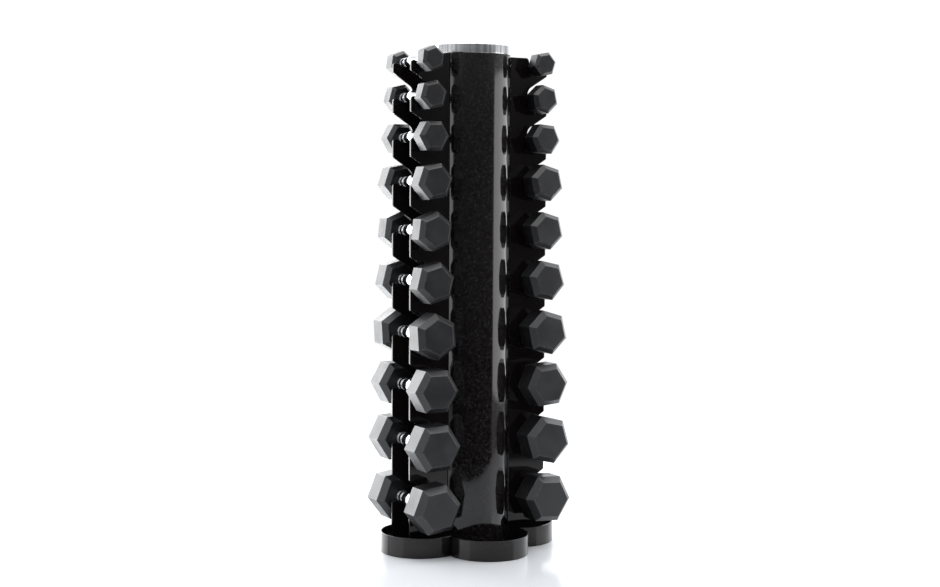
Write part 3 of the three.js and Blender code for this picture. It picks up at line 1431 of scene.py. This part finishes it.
@dataclass(frozen=True)
class Studio:
    """A pale sweep with a dim front, three standing light panels and a soft box overhead."""

    floor_radius: float = 1.8
    floor_middle: Flat = (0.384, 0.702)  # the floor reaches further behind the rack than before it
    floor_drop: float = 0.0002
    backdrop: float = 1.02
    tone: Triple = (0.97, 0.985, 1.0)
    dim_way: float = math.radians(-17.0)  # azimuth of the middle of the dim front, 0 towards -Y
    dim_edges: Flat = (0.469, 0.545)  # cosines of the angles from that middle where it ends
    dim_way_high: float = math.radians(-10.0)  # the same two above the panels
    dim_edges_high: Flat = (0.25, 0.98)
    panel_tops: Flat = (0.075, 0.095)  # sines of the elevation, as in the next four
    low_rise: Flat = (-0.125, -0.03)
    high_rise: Flat = (0.02, 0.14)
    below_edges: Flat = (-0.2, 0.0)
    top_edges: Flat = (0.3, 0.65)
    back_edges: Flat = (-0.35, -0.8)  # cosines from the middle of the dim front
    side_edges: Flat = (-0.5, 0.5)  # sines of the azimuth
    front_low: float = 0.03
    front_level: float = 0.10
    front_high: float = 0.30
    left_level: float = 0.75
    right_level: float = 0.8
    back_level: float = 1.6
    top_left: float = 1.3
    top_right: float = 2.2
    below: float = 0.5
    box_place: Triple = (0.0, 0.2, 3.4)
    box_size: float = 2.6
    box_power: float = 42.0
    box_colour: Triple = (1.0, 0.995, 0.985)
    bounce_place: Triple = (-0.55, 1.45, 0.004)
    bounce_size: Flat = (1.3, 1.9)
    bounce_radiance: float = 2.6
    panels: tuple[LightPanel, ...] = (
        LightPanel("panel_right", math.radians(43), math.radians(112), 1.5, 0.2, 1.24, 2.3),
        LightPanel("panel_left", math.radians(-77), math.radians(-122), 1.5, 0.2, 1.24, 1.8),
        LightPanel("panel_back", math.radians(-132), math.radians(-196), 2.2, 0.02, 2.0, 4.9),
    )

    def world(self) -> None:
        """Lights the rack from the sweep around it."""
        world = bpy.data.worlds.new("studio")
        bpy.context.scene.world = world
        world.use_nodes = True
        graph = Graph(world.node_tree)
        looking = graph.out("ShaderNodeTexCoord", {}, "Generated")
        split = graph.node("ShaderNodeSeparateXYZ", None, {0: looking})
        x, y, z = (Signal(graph, socket) for socket in split.outputs)
        level = (x * x + y * y + 1e-6).root()
        front, front_high = (
            (x * math.sin(way) - y * math.cos(way)) / level
            for way in (self.dim_way, self.dim_way_high)
        )
        high = z.step(*self.panel_tops)
        dim = front.step(*self.dim_edges) * (1.0 - high)
        dim = dim + front_high.step(*self.dim_edges_high) * high
        back = front.step(*self.back_edges)
        right = (x / level).step(*self.side_edges)
        side = self.left_level + right * (self.right_level - self.left_level)
        sweep = side + (self.back_level - side) * back
        rise = z.step(*self.low_rise)
        facing = self.front_low + rise * (self.front_level - self.front_low)
        facing = facing + z.step(*self.high_rise) * (self.front_high - self.front_level)
        sweep = sweep * (1.0 - dim) + dim * facing
        sweep = sweep * (self.below + (1.0 - self.below) * z.step(*self.below_edges))
        top = z.step(*self.top_edges)
        above = self.top_left + right * (self.top_right - self.top_left)
        light = sweep * (1.0 - top) + top * above
        shade = "ShaderNodeBackground"
        room = graph.out(shade, {"Color": (*self.tone, 1.0), "Strength": light})
        seen = graph.out(shade, {"Color": (1.0, 1.0, 1.0, 1.0), "Strength": self.backdrop})
        path = graph.out("ShaderNodeLightPath", {}, "Is Camera Ray")
        mixed = graph.out("ShaderNodeMixShader", {0: path, 1: room, 2: seen})
        graph.node("ShaderNodeOutputWorld", None, {0: mixed})

    def floor(self) -> None:
        """Lays the floor under the rack."""
        bm = bmesh.new()
        bmesh.ops.create_circle(bm, cap_ends=True, segments=96, radius=self.floor_radius)
        mesh = bpy.data.meshes.new("studio_floor")
        bm.to_mesh(mesh)
        bm.free()
        mesh.transform(Matrix.Translation((*self.floor_middle, -self.floor_drop)))
        mesh.materials.append(StudioSweep("studio_floor").make())
        floor = bpy.data.objects.new("studio_floor", mesh)
        bpy.context.scene.collection.objects.link(floor)

    def lamps(self) -> None:
        """Hangs the soft box over the rack, and lays a light behind it that shines up."""
        place = Matrix.Translation(self.box_place)
        hang("soft_box", (self.box_size, self.box_size), self.box_power, self.box_colour, place)
        wide, deep = self.bounce_size
        power = self.bounce_radiance * math.pi * wide * deep
        place = Matrix.Translation(self.bounce_place) @ Matrix.Rotation(math.pi, 4, "X")
        hang("floor_bounce", self.bounce_size, power, (1.0, 1.0, 1.0), place)
        for panel in self.panels:
            panel.build()

    def build(self) -> None:
        """Makes the surroundings, floor and lights."""
        bpy.context.scene.view_settings.view_transform = "Standard"
        self.world()
        self.floor()
        self.lamps()


def main() -> None:
    """Builds the camera, the studio and the rack."""
    logging.basicConfig(level=logging.INFO, format="%(name)s: %(message)s")
    Viewpoint().build()
    Studio().build()
    finishes = Finishes()
    sizes = dumbbell_sizes()
    Column().build(finishes)
    Tray().build(finishes)
    CradlePlate().build(finishes, sizes)
    rings = CollarRings()
    tree = rings.tree()
    for bank in Bank:
        for size in sizes:
            Dumbbell(size, bank).build(finishes, rings, tree)


if __name__ == "__main__":
    main()
